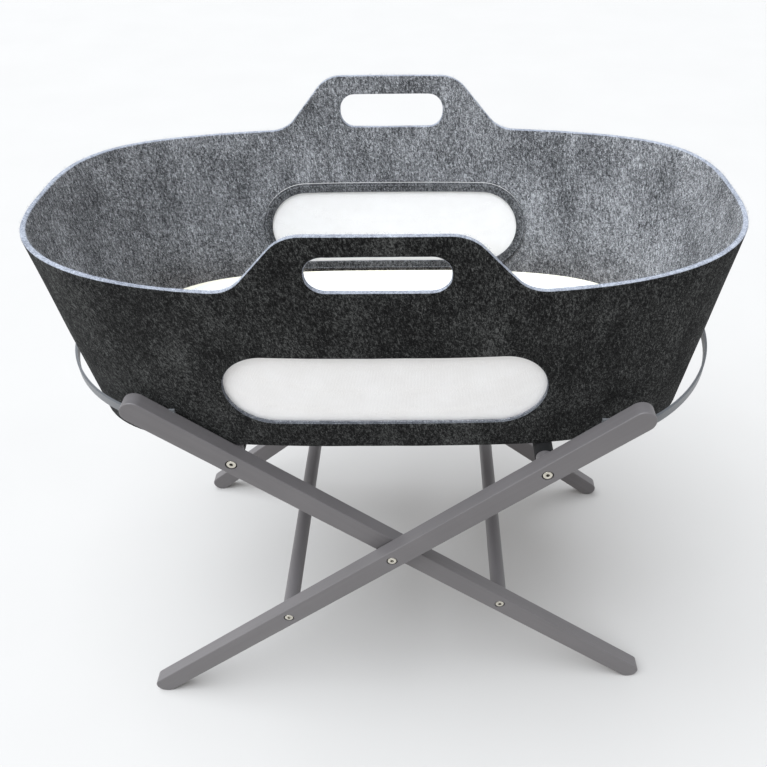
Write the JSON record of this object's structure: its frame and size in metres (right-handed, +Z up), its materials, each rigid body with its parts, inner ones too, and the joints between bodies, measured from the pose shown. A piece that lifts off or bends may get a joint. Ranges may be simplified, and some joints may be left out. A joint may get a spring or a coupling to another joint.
{
  "type": "bassinet on stand",
  "caption": "Oval grey felt carrying basket with raised slot handles, mesh windows and a mattress, resting on a folding wooden cross-leg stand with steel end hoops.",
  "frame": {"origin": "on the floor, under the middle of the line through the two pivot bolts, which is the centre of the footprint", "axes": "+X along the basket's length, towards the outer frame's end hoop; +Y towards the rear long side; +Z up"},
  "size_m": [0.8429, 0.4666, 0.8061],
  "materials": {
    "stand_paint": "satin warm grey paint over solid wood",
    "hoop_paint": "light grey powder coat",
    "bolt_nickel": "nickel plated",
    "screw_steel": "zinc plated",
    "insert_brass": "plain",
    "washer_nylon": "black nylon",
    "sleeve_rubber": "matte black",
    "strap_webbing": "black polypropylene webbing",
    "wall_felt": "thick pressed wool felt, mottled charcoal grey",
    "ring_felt": "thin pressed felt, charcoal grey",
    "window_mesh": "fine cream mesh",
    "base_board": "plain hardboard",
    "mattress_cotton": "white jersey cover",
    "mattress_foam": "open cell foam"
  },
  "bodies": {
    "inner_frame": {"inner_bar_front": "stand_paint", "inner_bar_rear": "stand_paint", "inner_upper_dowel": "stand_paint", "inner_lower_dowel": "stand_paint", "inner_dowel_sleeves": "sleeve_rubber", "inner_hoop": "hoop_paint", "inner_hoop_screws": "screw_steel", "inner_dowel_bolts": "bolt_nickel", "inner_dowel_inserts": "insert_brass", "inner_strap_screws": "screw_steel", "pivot_bolts": "bolt_nickel", "pivot_inserts": "insert_brass", "pivot_washers": "washer_nylon", "limit_strap_front": "strap_webbing", "limit_strap_rear": "strap_webbing"},
    "outer_frame": {"outer_bar_front": "stand_paint", "outer_bar_rear": "stand_paint", "outer_upper_dowel": "stand_paint", "outer_lower_dowel": "stand_paint", "outer_dowel_sleeves": "sleeve_rubber", "outer_hoop": "hoop_paint", "outer_hoop_screws": "screw_steel", "outer_dowel_bolts": "bolt_nickel", "outer_dowel_inserts": "insert_brass", "outer_strap_screws": "screw_steel"},
    "basket": {"felt_wall": "wall_felt", "felt_base": "wall_felt", "base_board": "base_board", "window_mesh_front": "window_mesh", "window_mesh_rear": "window_mesh", "window_ring_front": "ring_felt", "window_ring_rear": "ring_felt"},
    "mattress": {"mattress_cover": "mattress_cotton", "mattress_foam": "mattress_foam"}
  },
  "joints": [
    {"name": "fold", "type": "hinge", "parent": "inner_frame", "child": "outer_frame", "pos_m": [0, 0, 0.3221], "axis": [0, -1, 0], "range_deg": [0, 92], "deforming": ["limit_strap_front", "limit_strap_rear"]},
    {"name": "basket_lift", "type": "slide", "parent": "inner_frame", "child": "basket", "axis": [0, 0, 1], "range_m": [0, 1.69]},
    {"name": "mattress_lift", "type": "slide", "parent": "basket", "child": "mattress", "axis": [0, 0, 1], "range_m": [0, 0.35]}
  ],
  "couplings": [
    {"joint": "basket_lift", "follows": "fold", "m_per_rad": 1.05}
  ]
}
